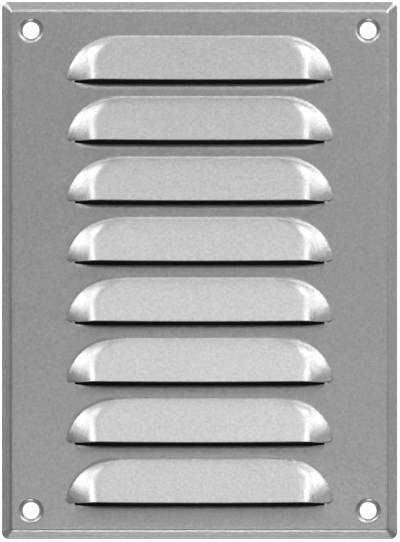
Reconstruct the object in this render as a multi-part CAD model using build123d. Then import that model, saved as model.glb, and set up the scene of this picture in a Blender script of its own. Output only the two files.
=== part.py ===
from build123d import *
from math import atan2, cos, degrees, radians, sin, tan
import os

# A louvred vent panel pressed from one sheet: a shallow pan whose rim is bevelled back to the
# wall, with hooded louvres lanced and drawn out of its face and a pressed countersink for a
# screw in each corner. Millimetres. +Z points out of the front, and +Y is up when the panel
# hangs on a wall. The origin is the middle of the flat foot of the rim, which meets the wall.

# Pan
PANEL_WIDTH = 147.3
PANEL_HEIGHT = 200.0
SHEET = 0.8
RIM_WIDTH = 3.4          # width of the bevel, seen from the front
RIM_DEPTH = 3.0          # from the face to the wall
RIM_CORNER_RADIUS = 2.6  # at the foot
FACE_CORNER_RADIUS = 0.9  # at the face, where the corner is almost sharp
BEND_RADIUS = 1.0        # outside of the bend between the face and the bevel

# Louvres
LOUVRE_COUNT = 8
END_MARGIN = 12.86       # from the foot of the rim to the first crease, and to the last slot
HOOD_LENGTH = 98.7
HOOD_RUN = 17.2          # from the crease at the top of a hood down to the cut of its slot
HOOD_SLOPE = 20.0        # how the broad face of a hood rises from the panel
HOOD_WALL_ANGLE = 34.0   # how its ends rise, and its first step up from the crease
CREASE_RISE = 0.12       # height of that step: where the broad face would pass over the crease
SHOULDER_RADIUS = 8.5    # between the broad face and the walls
LIP_LEAN = 12.0          # how far the mouth leans back from square
LIP_BOW = 0.4            # how far the middle of the lip springs forward of its ends
SLOT_INSET = 2.9         # from the tip of a hood to the end of its slot
TIP_RISE = 1.3           # how far the closed tip turns back over that length

# Screw holes
SCREW_INSET_X = 10.95    # from the foot of the rim to the middle of a hole
SCREW_INSET_Y = 10.7
SCREW_HOLE_RADIUS = 3.05
SINK_RADIUS = 4.3        # at the face
SINK_ANGLE = 45.0        # how steeply the countersink falls

RIM_ANGLE = degrees(atan2(RIM_DEPTH, RIM_WIDTH))
HOOD_RISE = HOOD_RUN * tan(radians(HOOD_SLOPE))
REACH = HOOD_RISE + 2 * SHEET  # how far a tool runs past what it shapes
ON_TOP = (Align.CENTER, Align.CENTER, Align.MIN)
UNDERNEATH = (Align.CENTER, Align.CENTER, Align.MAX)


def pan_block(depth):
    """The solid under the skin of the pan, depth below its outer surface."""
    foot_inset = depth / sin(radians(RIM_ANGLE))
    face_inset = RIM_WIDTH + depth * tan(radians(RIM_ANGLE / 2))
    foot = RectangleRounded(
        PANEL_WIDTH - 2 * foot_inset, PANEL_HEIGHT - 2 * foot_inset, RIM_CORNER_RADIUS - depth
    )
    face = RectangleRounded(
        PANEL_WIDTH - 2 * face_inset, PANEL_HEIGHT - 2 * face_inset, FACE_CORNER_RADIUS
    )
    return loft([foot, Pos(0, 0, RIM_DEPTH - depth) * face], ruled=True)


def punch(depth):
    """The block that a hood's skin closes over, depth below its outer surface and running on
    past the mouth. The middle of the slot is at the origin, and the face of the panel at z = 0."""
    flare = REACH / tan(radians(HOOD_WALL_ANGLE)) - depth * tan(radians(HOOD_WALL_ANGLE / 2))
    half_length = HOOD_LENGTH / 2 + flare
    radius = HOOD_RUN + flare
    outline = SlotOverall(2 * half_length, 2 * radius)
    outline += Pos(0, -radius) * Rectangle(2 * half_length, 2 * radius)
    block = extrude(Pos(0, 0, -depth - REACH) * outline, 2.2 * REACH, taper=90 - HOOD_WALL_ANGLE)
    normal = Vector(0, sin(radians(HOOD_SLOPE)), cos(radians(HOOD_SLOPE)))
    crease = Vector(0, HOOD_RUN, CREASE_RISE) - normal * depth
    block = split(block, bisect_by=Plane(crease, x_dir=(1, 0, 0), z_dir=normal), keep=Keep.BOTTOM)
    broad = block.faces().sort_by(lambda face: face.normal_at(face.center()).dot(normal))[-1]
    return fillet(broad.edges().sort_by(Axis.Y)[1:], SHOULDER_RADIUS - depth)


def mouth_limit():
    """All that stands behind the mouth of a hood: it leans back, is bowed forward in the middle
    and turns back where the hood closes at its tips."""
    tip = HOOD_LENGTH / 2
    slot_end = tip - SLOT_INSET
    left = (-slot_end, LIP_BOW)
    right = (slot_end, LIP_BOW)
    lip = ThreePointArc(left, (0, 0), right)
    behind = [(tip, LIP_BOW + TIP_RISE), (tip, 2 * HOOD_RUN), (-tip, 2 * HOOD_RUN)]
    back = Polyline(right, *behind, (-tip, LIP_BOW + TIP_RISE), left)
    outline = make_face([lip, back])
    return Rot(X=-LIP_LEAN) * Pos(0, 0, -SHEET) * extrude(outline, 2 * REACH)


def hood_form():
    """The outside of a hood."""
    above = Box(2 * HOOD_LENGTH, 4 * HOOD_RUN, 4 * REACH, align=ON_TOP)
    return punch(0) & (Pos(0, 0, -SHEET / 2) * above) & mouth_limit()


def hood_hollow():
    """What is hollow under a hood, with its slot through the sheet."""
    length = HOOD_LENGTH - 2 * SLOT_INSET
    slot = Pos(0, HOOD_RUN, -1.5 * SHEET) * Box(length, 2 * HOOD_RUN, 2 * REACH, align=ON_TOP)
    return punch(SHEET) & slot


def sink_cone(depth):
    """The countersink's cone, depth below its outer surface, with the face at z = 0."""
    steep = tan(radians(SINK_ANGLE))
    mouth = SINK_RADIUS + depth * tan(radians(SINK_ANGLE / 2))
    top = SHEET / 2 if depth else -REACH
    return Pos(0, 0, -top) * Cone(
        SCREW_HOLE_RADIUS, mouth + (depth - top) / steep,
        (mouth - SCREW_HOLE_RADIUS) * steep + depth - top, align=UNDERNEATH,
    )


def countersink(panel, spots):
    """Press a countersink into the panel at each spot and pierce its screw hole."""
    for spot in spots:
        panel += spot * sink_cone(SHEET)
        panel -= spot * sink_cone(0)
        panel -= spot * Cylinder(SCREW_HOLE_RADIUS, 4 * REACH)
    return panel


def louvred_panel():
    """The whole pressed sheet."""
    lowest = END_MARGIN - PANEL_HEIGHT / 2
    pitch = (PANEL_HEIGHT - 2 * END_MARGIN - HOOD_RUN) / (LOUVRE_COUNT - 1)
    slots = [Pos(0, lowest + row * pitch, RIM_DEPTH) for row in range(LOUVRE_COUNT)]
    form = hood_form()
    hollow = hood_hollow()
    pan = pan_block(0)
    pan = fillet(pan.faces().sort_by(Axis.Z)[-1].edges(), BEND_RADIUS)
    panel = pan + [slot * form for slot in slots]
    panel = panel - pan_block(SHEET) - [slot * hollow for slot in slots]
    spacing_x = PANEL_WIDTH - 2 * SCREW_INSET_X
    spacing_y = PANEL_HEIGHT - 2 * SCREW_INSET_Y
    screws = GridLocations(spacing_x, spacing_y, 2, 2)
    return countersink(panel, [Pos(0, 0, RIM_DEPTH) * spot for spot in screws])


os.makedirs("parts", exist_ok=True)
export_step(louvred_panel(), "parts/louvred_panel.step")
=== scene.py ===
"""A louvred sheet metal panel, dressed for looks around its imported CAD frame.

The pan, one louvre and one screw dimple are laid out flat. A node tree presses the louvre and the
dimple, repeats them over the pan and welds all to one skin, which then gets the sheet's thickness.
"""
import math

import bmesh
import bpy
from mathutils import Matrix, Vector
from mathutils.geometry import delaunay_2d_cdt

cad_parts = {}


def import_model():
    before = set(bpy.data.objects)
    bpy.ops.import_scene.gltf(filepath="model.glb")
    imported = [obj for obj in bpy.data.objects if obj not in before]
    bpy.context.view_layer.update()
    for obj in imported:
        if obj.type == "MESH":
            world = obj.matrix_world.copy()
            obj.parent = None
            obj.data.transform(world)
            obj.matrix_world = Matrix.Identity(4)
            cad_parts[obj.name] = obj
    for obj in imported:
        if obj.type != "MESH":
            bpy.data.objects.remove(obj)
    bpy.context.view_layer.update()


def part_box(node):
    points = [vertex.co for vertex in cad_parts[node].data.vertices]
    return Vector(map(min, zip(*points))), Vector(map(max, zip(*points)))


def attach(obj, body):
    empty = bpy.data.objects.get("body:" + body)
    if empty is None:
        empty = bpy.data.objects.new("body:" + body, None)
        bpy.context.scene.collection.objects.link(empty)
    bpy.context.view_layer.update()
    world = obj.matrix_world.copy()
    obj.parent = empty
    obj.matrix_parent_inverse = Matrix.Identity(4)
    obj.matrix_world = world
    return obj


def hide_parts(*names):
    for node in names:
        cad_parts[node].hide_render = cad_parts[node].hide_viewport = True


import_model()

bl_info = {
    "name": "Louvred panel",
    "version": (1, 0, 0),
    "blender": (4, 5, 0),
    "location": "3D View > Sidebar > Louvred panel",
    "description": "Presses a louvred sheet metal panel and sets a plain studio round it",
    "category": "Object",
}

MM = 0.001
NODE = "louvred_panel"
BODY = "root"
LOW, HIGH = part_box(NODE)


# ---------------------------------------------------------------- node graphs

class Value:
    """A number that varies over a surface: an output of a node, with Python's arithmetic."""

    def __init__(self, graph, socket):
        self.graph = graph
        self.socket = socket

    def _math(self, operation, *others):
        return self.graph.math(operation, self, *others)

    def __add__(self, other):
        return self._math("ADD", other)

    def __sub__(self, other):
        return self._math("SUBTRACT", other)

    def __rsub__(self, other):
        return self.graph.math("SUBTRACT", other, self)

    def __mul__(self, other):
        return self._math("MULTIPLY", other)

    def __truediv__(self, other):
        return self._math("DIVIDE", other)

    def __rtruediv__(self, other):
        return self.graph.math("DIVIDE", other, self)

    def __pow__(self, other):
        return self._math("POWER", other)

    def __abs__(self):
        return self._math("ABSOLUTE")

    def __gt__(self, other):
        return self._math("GREATER_THAN", other)

    __radd__ = __add__
    __rmul__ = __mul__

    def root(self):
        return self._math("SQRT")

    def at_least(self, other):
        return self._math("MAXIMUM", other)

    def at_most(self, other):
        return self._math("MINIMUM", other)

    def lower_of(self, other, blend):
        """The lower of two heights, rounded over where they cross."""
        return self._math("SMOOTH_MIN", other, blend)

    def higher_of(self, other, blend):
        """The higher of two heights, hollowed where they cross."""
        return self._math("SMOOTH_MAX", other, blend)


class Graph:
    """A node tree under construction."""

    def __init__(self, tree):
        self.tree = tree

    def put(self, socket, value):
        if isinstance(value, Value):
            value = value.socket
        if isinstance(value, bpy.types.NodeSocket):
            self.tree.links.new(value, socket)
        else:
            socket.default_value = value

    def node(self, kind, settings=None, sockets=None):
        """Add a node: its settings are made first, then its sockets get values or links."""
        node = self.tree.nodes.new(kind)
        for name, value in (settings or {}).items():
            setattr(node, name, value)
        for name, value in (sockets or {}).items():
            self.put(node.inputs[name], value)
        return node

    def math(self, operation, *values):
        sockets = dict(enumerate(values))
        node = self.node("ShaderNodeMath", {"operation": operation}, sockets)
        return Value(self, node.outputs[0])

    def value(self, node, output=0):
        return Value(self, node.outputs[output])

    def vector(self, x=0.0, y=0.0, z=0.0):
        return self.node("ShaderNodeCombineXYZ", None, {0: x, 1: y, 2: z}).outputs[0]

    def parts(self, vector):
        """The x and y of a vector."""
        split = self.node("ShaderNodeSeparateXYZ", None, {0: vector})
        return self.value(split, 0), self.value(split, 1)

    def ramp(self, factor, stops):
        node = self.node("ShaderNodeValToRGB", None, {0: factor})
        ramp = node.color_ramp
        while len(ramp.elements) < len(stops):
            ramp.elements.new(1.0)
        for element, (place, level) in zip(ramp.elements, stops):
            element.position = place
            element.color = (level, level, level, 1.0)
        return self.value(node)


# ---------------------------------------------------------------- sizes

def length(name, description, default):
    return bpy.props.FloatProperty(
        name=name, description=description, default=default * MM, unit="LENGTH", precision=5
    )


def angle(name, description, default):
    return bpy.props.FloatProperty(
        name=name, description=description, default=math.radians(default), subtype="ANGLE"
    )


class PanSizes(bpy.types.PropertyGroup):
    width: length("Width", "Across the foot of the rim", (HIGH[0] - LOW[0]) / MM)
    height: length("Height", "Along the foot of the rim", (HIGH[1] - LOW[1]) / MM)
    sheet: length("Sheet", "Thickness of the metal", 0.8)
    rim: length("Rim", "Width of the bevelled rim", 3.4)
    rim_depth: length("Rim depth", "From the wall to the face", 3.0)
    foot_corner: length("Foot corner", "Corner radius at the wall", 2.6)
    face_corner: length("Face corner", "Corner radius at the face", 0.9)
    bend: length("Bend", "Outside radius between face and rim", 1.8)
    screw_inset_x: length("Screw inset X", "From the side of the panel to a hole", 10.95)
    screw_inset_y: length("Screw inset Y", "From the end of the panel to a hole", 10.7)
    screw_hole: length("Screw hole", "Radius of a screw hole", 3.05)
    sink: length("Sink", "Radius where the face turns down to a hole", 4.2)
    sink_round: length("Sink rounding", "How far that turn spreads each way", 0.95)
    sink_fall: angle("Sink fall", "How steeply the countersink falls", 46.0)


class LouvreSizes(bpy.types.PropertyGroup):
    count: bpy.props.IntProperty(name="Count", description="Louvres in the column", default=8)
    end_margin: length("End margin", "From the rim to the first crease", 12.86)
    length: length("Length", "From tip to tip of a hood", 98.7)
    run: length("Run", "From the crease to the slot", 17.2)
    slope: angle("Slope", "Rise of the broad face", 20.0)
    corner: length("Corner", "Along the crease, where the outline turns down to the tip", 18.5)
    wall: angle("Wall", "Steepest rise from the outline", 42.0)
    shoulder_reach: length("Shoulder reach", "From the tip to where the broad face is level", 13.0)
    least_reach: length("Least reach", "Narrowest end, close to the crease", 9.0)
    straight_share: bpy.props.FloatProperty(
        name="Straight share", description="Part of that reach before the rounding", default=0.6
    )
    root: length("Root", "Hollow rounding round a hood", 1.2)
    tip: length("Tip", "Height of the rounded corner where the hood closes", 1.3)
    tip_length: length("Tip length", "Length of that corner", 2.9)
    closing: angle("Closing", "How steeply the hood closes at its tips", 72.0)
    lean: angle("Lean", "How far the mouth leans back", 9.5)
    bow: length("Bow", "How far the middle of the lip springs forward", 0.4)
    slot_inset: length("Slot inset", "From the hood's tip to the slot's end", 2.9)
    slot_drop: length("Slot drop", "How far the opening reaches below the cut", 0.5)
    edge_roll: length("Edge roll", "How far the edge below the opening turns in", 0.5)
    roll_width: length("Roll width", "Width of that turned edge", 2.9)


class FinishLook(bpy.types.PropertyGroup):
    base: bpy.props.FloatVectorProperty(
        name="Metal", description="Colour of the zinc", subtype="COLOR", size=3,
        default=(0.5, 0.5, 0.5),
    )
    roughness: bpy.props.FloatProperty(
        name="Roughness", description="How satin the zinc is", default=0.3, min=0.0, max=1.0
    )


SIZE_GROUPS = {
    "louvred_pan": PanSizes,
    "louvred_louvres": LouvreSizes,
    "louvred_finish": FinishLook,
}


# ---------------------------------------------------------------- flat patterns

SAME_POINT = 1e-9          # metres
NO_AREA = 1e-13            # square metres: a face with no more than this is left out


class Pattern:
    """Points and cut lines on the flat sheet, which become one triangulated mesh."""

    def __init__(self, spacing):
        self.points = []
        self.edges = []
        self.spacing = spacing
        self.taken = {}

    def near(self, x, y):
        """An earlier point closer than the spacing, if there is one."""
        column, row = round(x / self.spacing), round(y / self.spacing)
        for i in (column - 1, column, column + 1):
            for j in (row - 1, row, row + 1):
                for index in self.taken.get((i, j), ()):
                    if math.dist(self.points[index], (x, y)) < self.spacing:
                        return index
        return None

    def add(self, x, y):
        index = self.near(x, y)
        if index is None:
            index = len(self.points)
            self.points.append((x, y))
            cell = (round(x / self.spacing), round(y / self.spacing))
            self.taken.setdefault(cell, []).append(index)
        return index

    def line(self, points, closed=False):
        indices = [self.add(x, y) for x, y in points]
        pairs = list(zip(indices, indices[1:]))
        if closed:
            pairs.append((indices[-1], indices[0]))
        self.edges += [pair for pair in pairs if pair[0] != pair[1]]

    def mesh(self, name, is_open):
        """Triangulate, and leave out the faces whose middle lies in an opening."""
        points, _, faces, *_ = delaunay_2d_cdt(
            [Vector(point) for point in self.points], self.edges, [], 0, SAME_POINT, False
        )
        kept = []
        for face in faces:
            corners = [points[i] for i in face]
            middle = sum(corners, Vector((0.0, 0.0))) / len(corners)
            turn = (corners[1] - corners[0]).cross(corners[2] - corners[0])
            if abs(turn) > NO_AREA and not is_open(middle.x, middle.y):
                kept.append(face if turn > 0 else face[::-1])
        mesh = bpy.data.meshes.new(name)
        mesh.from_pydata([(p.x, p.y, 0.0) for p in points], [], kept)
        bm = bmesh.new()
        bm.from_mesh(mesh)
        bmesh.ops.delete(bm, geom=[v for v in bm.verts if not v.link_faces], context="VERTS")
        bm.to_mesh(mesh)
        bm.free()
        return mesh


def spread(start, end, count):
    return [start + (end - start) * i / count for i in range(count + 1)]


def rounded_rectangle(width, height, radius, steps):
    """Points round a rectangle, counterclockwise, with steps + 1 of them on each corner."""
    points = []
    for quarter, (sx, sy) in enumerate(((1, 1), (-1, 1), (-1, -1), (1, -1))):
        for turn in spread(quarter * 90.0, quarter * 90.0 + 90.0, steps):
            points.append((
                sx * (width / 2 - radius) + radius * math.cos(math.radians(turn)),
                sy * (height / 2 - radius) + radius * math.sin(math.radians(turn)),
            ))
    return points


CELL_HALF = 52.0 * MM      # of the strip that carries one louvre
CELL_BELOW = 3.0 * MM      # from its slot down to the next strip
CELL_STEPS = 26            # along the border that it shares with the next strip
DIMPLE_HALF = 6.0 * MM     # of the square that carries one screw dimple
DIMPLE_RINGS = 18          # from the edge of the hole out to the flat face
DIMPLE_STEPS = 64          # round each ring
PAST_ROUNDING = 1.1        # of the countersink's rounding, where the last ring lies
CORNER_STEPS = 10          # round each corner of the rim
BEND_STEPS = 8             # over the bend between rim and face
KERF = 0.12 * MM           # width of the cut before it is drawn open
SLOT_POWER = 16            # how squarely the opening's lower edge runs out at its ends
SLOT_STEPS = 60            # along the slot
SLOT_END_STEPS = (0.12, 0.3, 0.6, 1.0)   # millimetres in from its ends, where its edge turns
TIP_STEPS = 12             # round the corner where the hood closes
CREASE_STEPS = 28          # along the straight of a hood
END_STEPS = 26             # round its end, at the crease
FEWEST_STEPS = 6           # round its end, close to the slot
CLEAR_OF_LIP = 0.2 * MM    # what other points keep from the lip
PATTERN_GAP = 0.07 * MM    # closest that two points of a louvre may stand
FINE_GAP = 0.05 * MM       # the same on the dimple and the face
WELD = 0.01 * MM           # points nearer than this become one when the pieces are joined
PAN_WELD = 0.005 * MM      # the same between the rim and the face
SQUARE = ((-1, -1), (1, -1), (1, 1), (-1, 1))
BELOW_SLOT = (             # millimetres: rows of points that keep the strip smooth there
    -0.1, -0.25, -0.4, -0.6, -0.8, -1.0, -1.3, -1.9,
)
RINGS = (                  # millimetres down from the crease: rows of points over the hood
    -1.1, -0.8, -0.6, -0.45, -0.3, -0.15, 0.0, 0.15, 0.3, 0.45, 0.6, 0.8, 1.0, 1.4, 1.9, 2.5, 3.2,
    4.0, 4.8, 5.6, 6.4, 7.2, 8.0, 9.0, 10.0, 11.0, 12.0, 13.0, 14.0, 15.0, 15.8, 16.4, 16.8,
)


def pitch_of(pan, louvres):
    return (pan.height - 2 * louvres.end_margin - louvres.run) / (louvres.count - 1)


def cell_border(pitch):
    """The corners and steps of the strip round one louvre, shared with its neighbours."""
    xs = spread(-CELL_HALF, CELL_HALF, CELL_STEPS)
    low, high = -CELL_BELOW, pitch - CELL_BELOW
    return [(x, low) for x in xs] + [(x, high) for x in reversed(xs)]


def louvre_pattern(pan, louvres):
    """The flat strip round one louvre: its slot is cut, and it is dense where it will bend."""
    pattern = Pattern(PATTERN_GAP)
    pattern.line(cell_border(pitch_of(pan, louvres)), closed=True)
    half = louvres.length / 2
    slot = half - louvres.slot_inset
    middle = half - louvres.corner
    stretch = louvres.corner / louvres.run

    def lip(x):
        return KERF + louvres.bow * min(abs(x) / slot, 1.0) ** 2

    def edge(x):
        return -louvres.slot_drop * (1 - min(abs(x) / slot, 1.0) ** SLOT_POWER)

    near_ends = [side * (slot - step * MM) for side in (-1, 1) for step in SLOT_END_STEPS]
    xs = sorted(spread(-slot, slot, SLOT_STEPS) + near_ends)
    closing = [(slot, lip(slot))]
    for turn in spread(-90.0, 0.0, TIP_STEPS):
        closing.append((
            half - louvres.tip_length + louvres.tip_length * math.cos(math.radians(turn)),
            lip(slot) + louvres.tip + louvres.tip * math.sin(math.radians(turn)),
        ))
    pattern.line([(x, edge(x)) for x in xs] + [(x, lip(x)) for x in reversed(xs)], closed=True)
    for side in (-1, 1):
        pattern.line([(side * x, y) for x, y in closing])
    for depth in RINGS:
        radius = louvres.run - depth * MM
        for x in spread(-middle, middle, CREASE_STEPS):
            if radius > lip(x) + CLEAR_OF_LIP:
                pattern.add(x, radius)
        steps = max(FEWEST_STEPS, round(END_STEPS * radius / louvres.run))
        for turn in spread(0.0, 90.0, steps):
            x = middle + stretch * radius * math.cos(math.radians(turn))
            y = radius * math.sin(math.radians(turn))
            if y > lip(x) + CLEAR_OF_LIP:
                for side in (-1, 1):
                    pattern.add(side * x, y)
    past_tip = half + 1.5 * MM
    for y in BELOW_SLOT:
        for x in xs + spread(slot, past_tip, 14) + spread(-slot, -past_tip, 14):
            pattern.add(x, edge(x) + y * MM)
    for x in spread(slot - 0.9 * MM, half + 0.3 * MM, 15):     # over the closed tips
        for y in spread(lip(slot) + KERF, 2.8 * MM, 11):
            for side in (-1, 1):
                pattern.add(side * x, y)
    return pattern.mesh("louvre_pattern", lambda x, y: abs(x) < slot and edge(x) < y < lip(x))


def dimple_pattern(pan):
    """The flat square round one screw hole."""
    pattern = Pattern(FINE_GAP)
    pattern.line([(x * DIMPLE_HALF, y * DIMPLE_HALF) for x, y in SQUARE], closed=True)
    ring = [math.radians(turn) for turn in spread(0.0, 360.0, DIMPLE_STEPS)[:-1]]
    for radius in spread(pan.screw_hole, pan.sink + pan.sink_round * PAST_ROUNDING, DIMPLE_RINGS):
        pattern.line([(radius * math.cos(a), radius * math.sin(a)) for a in ring], closed=True)
    return pattern.mesh("dimple_pattern", lambda x, y: math.hypot(x, y) < pan.screw_hole)


def rim_mesh(pan):
    """The bevelled rim and the bend at its top, and the loop of points where the face starts."""
    fall = math.atan2(pan.rim_depth, pan.rim)
    crown = pan.rim + pan.bend * math.tan(fall / 2)
    profile = [(0.0, 0.0)]
    for turn in spread(fall, 0.0, BEND_STEPS):
        profile.append((
            crown - pan.bend * math.sin(turn), pan.rim_depth - pan.bend * (1 - math.cos(turn))
        ))
    verts, faces = [], []
    for inset, z in profile:
        share = min(inset / pan.rim, 1.0)
        radius = pan.foot_corner + (pan.face_corner - pan.foot_corner) * share
        loop = rounded_rectangle(
            pan.width - 2 * inset, pan.height - 2 * inset, radius, CORNER_STEPS
        )
        verts += [(x, y, z) for x, y in loop]
    count = len(loop)
    for ring in range(len(profile) - 1):
        for i in range(count):
            a, b = ring * count + i, ring * count + (i + 1) % count
            faces.append((a, b, b + count, a + count))
    rim = bpy.data.meshes.new("rim")
    rim.from_pydata(verts, [], faces)
    return rim, loop


def face_mesh(pan, louvres, loop):
    """The flat face inside the loop, open where the louvres and the screw dimples go."""
    low = louvres.end_margin - pan.height / 2 - CELL_BELOW
    high = low + louvres.count * pitch_of(pan, louvres)
    face = Pattern(FINE_GAP)
    face.line(loop, closed=True)
    rows = spread(low, high, louvres.count)[1:-1]
    xs = spread(-CELL_HALF, CELL_HALF, CELL_STEPS)
    face.line(
        [(x, low) for x in xs] + [(CELL_HALF, y) for y in rows]
        + [(x, high) for x in reversed(xs)] + [(-CELL_HALF, y) for y in reversed(rows)],
        closed=True,
    )
    spots = [
        (sx * (pan.width / 2 - pan.screw_inset_x), sy * (pan.height / 2 - pan.screw_inset_y))
        for sx in (-1, 1) for sy in (-1, 1)
    ]
    for x, y in spots:
        face.line([(x + i * DIMPLE_HALF, y + j * DIMPLE_HALF) for i, j in SQUARE], closed=True)

    def is_open(x, y):
        if abs(x) < CELL_HALF and low < y < high:
            return True
        return any(abs(x - i) < DIMPLE_HALF and abs(y - j) < DIMPLE_HALF for i, j in spots)

    return face.mesh("flat", is_open)


def pan_mesh(pan, louvres):
    """The rim and the face, welded to one skin."""
    rim, loop = rim_mesh(pan)
    bm = bmesh.new()
    bm.from_mesh(face_mesh(pan, louvres, loop))
    bmesh.ops.translate(bm, vec=(0.0, 0.0, pan.rim_depth), verts=bm.verts)
    bm.from_mesh(rim)
    bmesh.ops.remove_doubles(bm, verts=bm.verts, dist=PAN_WELD)
    mesh = bpy.data.meshes.new("pan")
    bm.to_mesh(mesh)
    bm.free()
    return mesh


# ---------------------------------------------------------------- pressing

WALL_HOLLOW = 0.4          # blend into the flat sheet at the walls, as a share of the root
CREASE_HOLLOW = 0.33       # the same at the crease
WALL_BLEND = 0.2           # of the broad face into the walls, as a share of the root
TIP_BLEND = 0.25 * MM      # of the hood into its closed tips
REACH_BLEND = 3.0 * MM     # where the ends stop getting narrower towards the crease
LEAN_SHARE = 0.6           # of the run, over which the lean dies out


def hood_height(graph, size, position):
    """How far the press raises the sheet. The broad face climbs from the crease, its ends fall in
    a rounded shoulder to the outline, and the tips close down to the ends of the slot. Below the
    slot, the edge of the flat sheet rolls in."""
    x, up = graph.parts(position)
    across = abs(x)
    half = size["Hood length"] / 2
    run = size["Hood run"]
    slope_rate = graph.math("TANGENT", size["Slope"])
    wall_rate = graph.math("TANGENT", size["Wall"])
    broad = (run - up) * slope_rate

    corner = size["Corner"]
    level = (run * run - up * up).at_least(0.0).root() / run
    outline = half - corner * (1 - level)
    reach = (outline - half + size["Shoulder reach"]).higher_of(size["Least reach"], REACH_BLEND)
    share = ((outline - across) / reach).at_most(1.0)
    straight = size["Straight share"]
    fall = 2 / (1 + straight)
    rounding = (share - straight).at_least(0.0) ** 2 * fall / (2 * (1 - straight))
    end = broad * (share * fall - rounding)

    beyond = (across - (half - corner)).at_least(0.0) * run / corner
    radius = (beyond * beyond + up * up).root().at_least(0.01 * MM)
    facing = up / radius
    along = beyond / radius * run / corner
    inland = (run - radius) / (facing * facing + along * along).root().at_least(0.1)
    hood = end.lower_of(inland * wall_rate, size["Root"] * WALL_BLEND)

    slot_end = half - size["Slot inset"]
    rise = size["Bow"] + KERF
    corner_x = (across - (half - size["Tip length"])).at_least(0.0) / size["Tip length"]
    corner_y = (rise + size["Tip"] - up).at_least(0.0) / size["Tip"]
    inside = size["Tip"] * (1 - (corner_x * corner_x + corner_y * corner_y).root())
    before = (slot_end - across).at_least(0.0)
    is_before = before > 0.0
    to_end = (inside.at_least(0.0) ** 2 + before ** 2).root()
    closing = is_before * to_end + (1 - is_before) * inside
    hood = hood.lower_of(closing * graph.math("TANGENT", size["Closing"]), TIP_BLEND)

    hollow = WALL_HOLLOW - (WALL_HOLLOW - CREASE_HOLLOW) * facing
    hood = hood.higher_of(0.0, size["Root"] * hollow)

    inside_slot = (1 - (across / slot_end) ** SLOT_POWER).at_least(0.0)
    below = 0.0 - up - size["Slot drop"] * inside_slot
    turn = (1 - below / size["Roll width"]).at_least(0.0).at_most(1.0)
    roll = size["Edge roll"] * turn * turn * inside_slot
    is_hood = up > KERF / 2
    return hood * is_hood - roll * (1 - is_hood)


def dimple_height(graph, size, position):
    """How far the press sinks the sheet towards a screw hole."""
    x, y = graph.parts(position)
    reach = (x * x + y * y).root()
    fall = graph.math("TANGENT", size["Sink fall"])
    return 0.0 - ((size["Sink"] - reach) * fall).higher_of(0.0, size["Sink rounding"] * fall)


HOOD_INPUTS = {
    # input of the tree: size of the louvres
    "Hood length": "length", "Hood run": "run", "Slope": "slope", "Wall": "wall",
    "Corner": "corner", "Shoulder reach": "shoulder_reach", "Least reach": "least_reach",
    "Straight share": "straight_share", "Root": "root", "Tip": "tip",
    "Tip length": "tip_length", "Closing": "closing", "Lean": "lean", "Bow": "bow",
    "Slot inset": "slot_inset", "Slot drop": "slot_drop", "Edge roll": "edge_roll",
    "Roll width": "roll_width",
}
PLACE_INPUTS = (
    "Lowest slot", "Pitch", "Face height", "Screw spacing X", "Screw spacing Y",
    "Sink", "Sink rounding", "Sink fall",
)
PRESS_INPUTS = {
    "Louvre pattern": "NodeSocketObject", "Dimple pattern": "NodeSocketObject",
    "Zinc": "NodeSocketMaterial", "Louvres": "NodeSocketInt",
    **{name: "NodeSocketFloat" for name in (*HOOD_INPUTS, *PLACE_INPUTS)},
}


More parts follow.
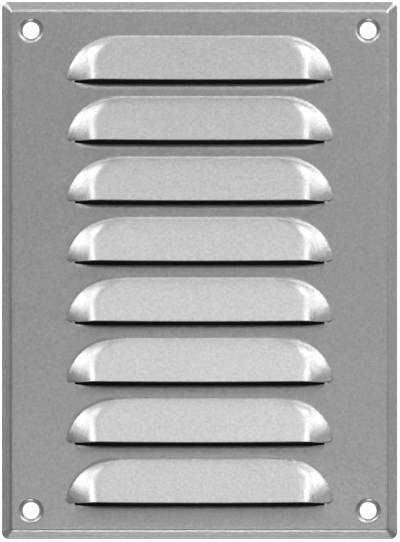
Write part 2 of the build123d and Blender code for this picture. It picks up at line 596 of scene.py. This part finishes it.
def press_tree():
    """The node tree that presses the louvre and the dimple, and repeats them over the pan."""
    tree = bpy.data.node_groups.new("Press", "GeometryNodeTree")
    tree.interface.new_socket("Geometry", in_out="INPUT", socket_type="NodeSocketGeometry")
    for name, kind in PRESS_INPUTS.items():
        tree.interface.new_socket(name, in_out="INPUT", socket_type=kind)
    tree.interface.new_socket("Geometry", in_out="OUTPUT", socket_type="NodeSocketGeometry")
    graph = Graph(tree)
    inlet = graph.node("NodeGroupInput")
    size = {name: Value(graph, inlet.outputs[name]) for name in PRESS_INPUTS}

    position = graph.node("GeometryNodeInputPosition").outputs[0]
    blank = graph.node("GeometryNodeObjectInfo", None, {"Object": size["Louvre pattern"]})
    height = hood_height(graph, size, position)
    _, up = graph.parts(position)
    fade = (1 - up / (size["Hood run"] * LEAN_SHARE)).at_least(0.0)
    drawn_back = height * graph.math("TANGENT", size["Lean"]) * fade
    leaned = graph.node("GeometryNodeSetPosition", None, {
        "Geometry": blank.outputs["Geometry"], "Offset": graph.vector(y=drawn_back),
    })
    raised = graph.node("GeometryNodeSetPosition", None, {
        "Geometry": leaned.outputs[0], "Offset": graph.vector(z=height),
    })
    slots = graph.node("GeometryNodeMeshLine", None, {
        "Count": size["Louvres"],
        "Start Location": graph.vector(y=size["Lowest slot"], z=size["Face height"]),
        "Offset": graph.vector(y=size["Pitch"]),
    })
    hoods = graph.node("GeometryNodeInstanceOnPoints", None, {
        "Points": slots.outputs[0], "Instance": raised.outputs[0],
    })

    blank = graph.node("GeometryNodeObjectInfo", None, {"Object": size["Dimple pattern"]})
    sunk = graph.node("GeometryNodeSetPosition", None, {
        "Geometry": blank.outputs["Geometry"],
        "Offset": graph.vector(z=dimple_height(graph, size, position)),
    })
    corners = graph.node("GeometryNodeMeshGrid", None, {
        "Size X": size["Screw spacing X"], "Size Y": size["Screw spacing Y"],
        "Vertices X": 2, "Vertices Y": 2,
    })
    lifted = graph.node("GeometryNodeSetPosition", None, {
        "Geometry": corners.outputs[0], "Offset": graph.vector(z=size["Face height"]),
    })
    dimples = graph.node("GeometryNodeInstanceOnPoints", None, {
        "Points": lifted.outputs[0], "Instance": sunk.outputs[0],
    })

    joined = graph.node("GeometryNodeJoinGeometry")
    for part in (inlet.outputs["Geometry"], hoods.outputs[0], dimples.outputs[0]):
        graph.put(joined.inputs[0], part)
    real = graph.node("GeometryNodeRealizeInstances", None, {0: joined.outputs[0]})
    welded = graph.node("GeometryNodeMergeByDistance", None, {
        "Geometry": real.outputs[0], "Distance": WELD,
    })
    smooth = graph.node("GeometryNodeSetShadeSmooth", None, {"Geometry": welded.outputs[0]})
    coated = graph.node("GeometryNodeSetMaterial", None, {
        "Geometry": smooth.outputs[0], "Material": size["Zinc"],
    })
    graph.node("NodeGroupOutput", None, {"Geometry": coated.outputs[0]})
    return tree


def add_object(name, mesh):
    obj = bpy.data.objects.new(name, mesh)
    bpy.context.scene.collection.objects.link(obj)
    return obj


def settle(obj, name):
    """Give the object the plain mesh that its modifiers make, and drop them."""
    depsgraph = bpy.context.evaluated_depsgraph_get()
    mesh = bpy.data.meshes.new_from_object(obj.evaluated_get(depsgraph), depsgraph=depsgraph)
    mesh.name = name
    obj.modifiers.clear()
    obj.data = mesh


def press(obj, pan, louvres, zinc, patterns):
    """Run the press tree on the pan."""
    modifier = obj.modifiers.new("Press", "NODES")
    modifier.node_group = press_tree()
    values = {name: getattr(louvres, entry) for name, entry in HOOD_INPUTS.items()}
    values |= {
        "Louvre pattern": patterns[0], "Dimple pattern": patterns[1], "Zinc": zinc,
        "Louvres": louvres.count, "Lowest slot": louvres.end_margin - pan.height / 2,
        "Pitch": pitch_of(pan, louvres), "Face height": pan.rim_depth,
        "Screw spacing X": pan.width - 2 * pan.screw_inset_x,
        "Screw spacing Y": pan.height - 2 * pan.screw_inset_y,
        "Sink": pan.sink, "Sink rounding": pan.sink_round, "Sink fall": pan.sink_fall,
    }
    for item in modifier.node_group.interface.items_tree:
        if item.in_out == "INPUT" and item.name in values:
            modifier[item.identifier] = values[item.name]
    settle(obj, obj.name)


ON_WALL = 1e-7             # metres: what hangs less below the wall stays
CUT_EDGE = "cut_edge"      # 1 on the faces that the shears have cut, 0 elsewhere
SMOOTH_UP_TO = 38.0        # degrees between two faces


def mark_cut_edges(mesh, zinc):
    """Note for the finish which faces are cut edges. Until here they lie in the last slot."""
    slots = [face.material_index for face in mesh.polygons]
    last = max(slots)
    cut = mesh.attributes.new(CUT_EDGE, "FLOAT", "FACE")
    cut.data.foreach_set("value", [float(slot == last) for slot in slots])
    mesh.materials.clear()
    mesh.materials.append(zinc)
    mesh.polygons.foreach_set("material_index", [0] * len(slots))


def seat_foot(mesh, pan):
    """Cut the rim's inner edge level with the wall: what hangs below slides up the bevel."""
    bevel = pan.rim / pan.rim_depth
    core_x = pan.width / 2 - pan.foot_corner
    core_y = pan.height / 2 - pan.foot_corner
    for vertex in mesh.vertices:
        below = -vertex.co.z
        if below > ON_WALL:
            out = Vector((
                vertex.co.x - max(-core_x, min(core_x, vertex.co.x)),
                vertex.co.y - max(-core_y, min(core_y, vertex.co.y)),
            ))
            out.normalize()
            vertex.co.x -= out.x * below * bevel
            vertex.co.y -= out.y * below * bevel
            vertex.co.z = 0.0


# ---------------------------------------------------------------- finish

MOTTLE_SIZE = 2.0 * MM     # of the zinc's soft spots
MOTTLE_TONE = 0.16         # how far they lighten and darken it
MOTTLE_SHEEN = 0.08        # how far they change its roughness
GRAIN_SIZE = 0.9 * MM      # of its fine grain
GRAIN_TONE = 0.45
GRAIN_RELIEF = 0.4         # its height, as a share of the mottle's
CLOUD_SIZE = 22.0 * MM     # of slow drifts in its tone
CLOUD_TONE = 0.05
PATCH_SIZE = 30.0 * MM     # of the areas where its skin lies rougher
SMOOTHER = (0.48, 0.3)     # up to this place in the patches, this share of the mottle's relief
ROUGHER = (0.6, 1.0)       # from this place on, all of it
METAL = 0.9                # how metallic the bright skin is, under a thin dull bloom
CUT_BARE = 0.8             # how much less so the torn metal of a cut edge is
CUT_ROUGHER = 0.3
RELIEF = 0.12 * MM         # height of the orange peel
RELIEF_STRENGTH = 0.6


def zinc_material(look):
    """Satin galvanised sheet: a fine mottle, a low orange-peel relief and duller cut edges."""
    material = bpy.data.materials.new("zinc_sheet")
    material.use_nodes = True
    material.node_tree.nodes.clear()
    graph = Graph(material.node_tree)
    place = graph.node("ShaderNodeTexCoord").outputs["Object"]

    def noise(size, detail):
        node = graph.node("ShaderNodeTexNoise", {"noise_dimensions": "3D"}, {
            "Vector": place, "Scale": 1 / size, "Detail": detail, "Roughness": 0.5,
        })
        return graph.value(node, "Fac")

    mottle = noise(MOTTLE_SIZE, 2.0)
    grain = noise(GRAIN_SIZE, 2.0)
    cloud = noise(CLOUD_SIZE, 3.0)
    patch = noise(PATCH_SIZE, 1.0)
    cut = graph.value(graph.node("ShaderNodeAttribute", {"attribute_name": CUT_EDGE}), "Fac")
    soft, fine, slow = mottle - 0.5, grain - 0.5, cloud - 0.5
    shade = 1 + soft * MOTTLE_TONE + fine * GRAIN_TONE + slow * CLOUD_TONE
    tint = graph.node("ShaderNodeVectorMath", {"operation": "SCALE"}, {
        0: tuple(look.base), "Scale": shade,
    }).outputs[0]
    relief = mottle * graph.ramp(patch, (SMOOTHER, ROUGHER)) + grain * GRAIN_RELIEF
    bump = graph.node("ShaderNodeBump", None, {
        "Height": relief, "Strength": RELIEF_STRENGTH, "Distance": RELIEF,
    })
    surface = graph.node("ShaderNodeBsdfPrincipled", None, {
        "Base Color": tint, "Metallic": METAL - cut * CUT_BARE,
        "Roughness": look.roughness + soft * MOTTLE_SHEEN + cut * CUT_ROUGHER,
        "Normal": bump.outputs[0],
    })
    graph.node("ShaderNodeOutputMaterial", None, {"Surface": surface.outputs[0]})
    return material


# ---------------------------------------------------------------- operators

class LOUVRED_OT_panel(bpy.types.Operator):
    """Press the panel from its flat patterns"""

    bl_idname = "louvred.panel"
    bl_label = "Press the panel"

    def execute(self, context):
        scene = context.scene
        pan, louvres = scene.louvred_pan, scene.louvred_louvres
        zinc = zinc_material(scene.louvred_finish)
        patterns = [
            add_object("louvre_pattern", louvre_pattern(pan, louvres)),
            add_object("dimple_pattern", dimple_pattern(pan)),
        ]
        panel = add_object("pressed_sheet", pan_mesh(pan, louvres))
        press(panel, pan, louvres, zinc, patterns)
        for pattern in patterns:
            bpy.data.objects.remove(pattern)
        panel.data.materials.append(zinc)
        wall = panel.modifiers.new("Sheet", "SOLIDIFY")
        wall.thickness = pan.sheet
        wall.offset = -1.0
        wall.use_even_offset = True
        wall.material_offset_rim = 1        # the cut edges go to the slot just added
        settle(panel, "pressed_sheet")
        mark_cut_edges(panel.data, zinc)
        seat_foot(panel.data, pan)
        panel.data.set_sharp_from_angle(angle=math.radians(SMOOTH_UP_TO))
        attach(panel, BODY)
        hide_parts(NODE)
        return {"FINISHED"}


CAMERA_DISTANCE = 2.5      # metres, straight above
CAMERA_SHIFT = (0.15 * MM, -0.19 * MM)   # from the middle of the panel
SENSOR = 36.0              # millimetres, on its longer side
VIEW_HEIGHT = 201.75 * MM  # what the camera takes in at the floor


class LOUVRED_OT_stage(bpy.types.Operator):
    """Lay the panel on a pale floor under soft studio light"""

    bl_idname = "louvred.stage"
    bl_label = "Set the stage"

    def execute(self, context):
        scene = context.scene
        scene.view_settings.view_transform = "Standard"
        camera_data = bpy.data.cameras.new("camera")
        camera_data.sensor_width = SENSOR
        camera_data.lens = SENSOR * CAMERA_DISTANCE / VIEW_HEIGHT
        camera = add_object("camera", camera_data)
        camera.location = (*CAMERA_SHIFT, CAMERA_DISTANCE)
        scene.camera = camera
        floor()
        duct()
        lamps()
        world()
        return {"FINISHED"}


def plane(name, half_x, half_y, z):
    mesh = bpy.data.meshes.new(name)
    mesh.from_pydata(
        [(-half_x, -half_y, z), (half_x, -half_y, z), (half_x, half_y, z), (-half_x, half_y, z)],
        [], [(0, 1, 2, 3)],
    )
    obj = add_object(name, mesh)
    return obj


FLOOR_HALF = 3.0           # metres, half its side
FLOOR_GREY = 0.8
FLOOR_GLOW = 0.92          # seen by the camera and in the metal, added to what the lamps give
# a dark sheet under the louvres: painted shade, seen through the slots
SLOT_SHADE_HALF_X = 56.0 * MM    # half its width
SLOT_SHADE_HALF_Y = 93.0 * MM    # half its height
SLOT_SHADE_LIFT = 0.1 * MM       # clear of the floor
SLOT_SHADE_GREY = 0.05


def floor():
    """A pale floor that reads white and keeps the panel's shadow."""
    material = bpy.data.materials.new("pale_floor")
    material.use_nodes = True
    material.node_tree.nodes.clear()
    graph = Graph(material.node_tree)
    path = graph.node("ShaderNodeLightPath")
    seen = graph.value(path, "Is Camera Ray").at_least(graph.value(path, "Is Glossy Ray"))
    seen = seen.at_least(graph.value(path, "Is Transmission Ray"))
    matt = graph.node("ShaderNodeBsdfDiffuse", None, {
        "Color": (FLOOR_GREY, FLOOR_GREY, FLOOR_GREY, 1.0),
    })
    glow = graph.node("ShaderNodeEmission", None, {
        "Color": (1.0, 1.0, 1.0, 1.0), "Strength": seen * FLOOR_GLOW,
    })
    both = graph.node("ShaderNodeAddShader", None, {0: matt.outputs[0], 1: glow.outputs[0]})
    graph.node("ShaderNodeOutputMaterial", None, {"Surface": both.outputs[0]})
    plane("floor", FLOOR_HALF, FLOOR_HALF, 0.0).data.materials.append(material)


def duct():
    """A dark sheet under the louvres, hidden by the panel itself: painted shade, seen through the
    slots in place of the shadow under the panel.
    """
    material = bpy.data.materials.new("dark_duct")
    material.use_nodes = True
    shader = material.node_tree.nodes["Principled BSDF"]
    shader.inputs["Base Color"].default_value = (SLOT_SHADE_GREY, SLOT_SHADE_GREY, SLOT_SHADE_GREY, 1.0)
    shader.inputs["Roughness"].default_value = 1.0
    shader.inputs["Specular IOR Level"].default_value = 0.0
    plane("duct", SLOT_SHADE_HALF_X, SLOT_SHADE_HALF_Y, SLOT_SHADE_LIFT).data.materials.append(material)


LAMPS = (
    # name, bearing round the panel and tilt from overhead in degrees, then distance, width and
    # height in metres, and watts
    ("overhead", 0.0, 0.0, 3.2, 1.0, 1.0, 0.8),
    ("top_near", 90.0, 42.5, 0.67, 0.5, 0.15, 0.15),
    ("top_nearer", 90.0, 32.5, 0.65, 0.5, 0.12, 0.3),
    ("top_low", 90.0, 64.0, 1.4, 0.5, 0.5, 1.5),
    ("top_left_low", 120.0, 64.0, 1.4, 0.5, 0.5, 2.7),
    ("upper_left", 145.0, 47.0, 1.5, 0.5, 0.5, 3.1),
    ("left_corner", 135.0, 80.0, 1.4, 0.5, 0.35, 1.0),
    ("top_right", 45.0, 26.0, 2.0, 0.6, 0.6, 3.4),
    ("top_right_low", 60.0, 64.0, 1.4, 0.5, 0.5, 3.0),
    ("upper_right", 35.0, 47.0, 1.5, 0.5, 0.5, 2.7),
    ("right_corner", 45.0, 80.0, 1.4, 0.5, 0.35, 1.0),
    ("right_low", 0.0, 64.0, 1.4, 0.5, 0.5, 0.6),
    ("bottom", 270.0, 12.0, 2.0, 0.35, 0.35, 0.9),
    ("bottom_low", 270.0, 64.0, 1.4, 0.5, 0.5, 2.8),
)


def lamps():
    """Soft boxes that all face the middle of the panel."""
    for name, bearing, tilt, distance, width, height, power in LAMPS:
        data = bpy.data.lights.new(name, "AREA")
        data.shape = "RECTANGLE"
        data.size = width
        data.size_y = height
        data.energy = power
        lamp = add_object(name, data)
        bearing, tilt = math.radians(bearing), math.radians(tilt)
        towards = Vector((
            math.sin(tilt) * math.cos(bearing), math.sin(tilt) * math.sin(bearing), math.cos(tilt)
        ))
        lamp.location = towards * distance
        lamp.rotation_euler = towards.to_track_quat("Z", "Y").to_euler()


SKY_STRENGTH = 0.2


def world():
    """A faint even light, so that no side is black."""
    sky = bpy.data.worlds.new("studio")
    sky.use_nodes = True
    background = sky.node_tree.nodes["Background"]
    background.inputs["Color"].default_value = (1.0, 1.0, 1.0, 1.0)
    background.inputs["Strength"].default_value = SKY_STRENGTH
    bpy.context.scene.world = sky


class LOUVRED_PT_sidebar(bpy.types.Panel):
    """Sizes and steps of the louvred panel"""

    bl_idname = "LOUVRED_PT_sidebar"
    bl_label = "Louvred panel"
    bl_space_type = "VIEW_3D"
    bl_region_type = "UI"
    bl_category = "Louvred panel"

    def draw(self, context):
        for name, group in SIZE_GROUPS.items():
            box = self.layout.box()
            for entry in group.__annotations__:
                box.prop(getattr(context.scene, name), entry)
        for operator in OPERATORS:
            self.layout.operator(operator.bl_idname)


OPERATORS = (LOUVRED_OT_panel, LOUVRED_OT_stage)


def register():
    for group in SIZE_GROUPS.values():
        bpy.utils.register_class(group)
    for name, group in SIZE_GROUPS.items():
        setattr(bpy.types.Scene, name, bpy.props.PointerProperty(type=group))
    for operator in OPERATORS:
        bpy.utils.register_class(operator)
    bpy.utils.register_class(LOUVRED_PT_sidebar)


def unregister():
    bpy.utils.unregister_class(LOUVRED_PT_sidebar)
    for operator in reversed(OPERATORS):
        bpy.utils.unregister_class(operator)
    for name, group in SIZE_GROUPS.items():
        delattr(bpy.types.Scene, name)
        bpy.utils.unregister_class(group)


def main():
    """Make the panel and its stage."""
    register()
    bpy.ops.louvred.panel()
    bpy.ops.louvred.stage()


if __name__ == "__main__":
    main()
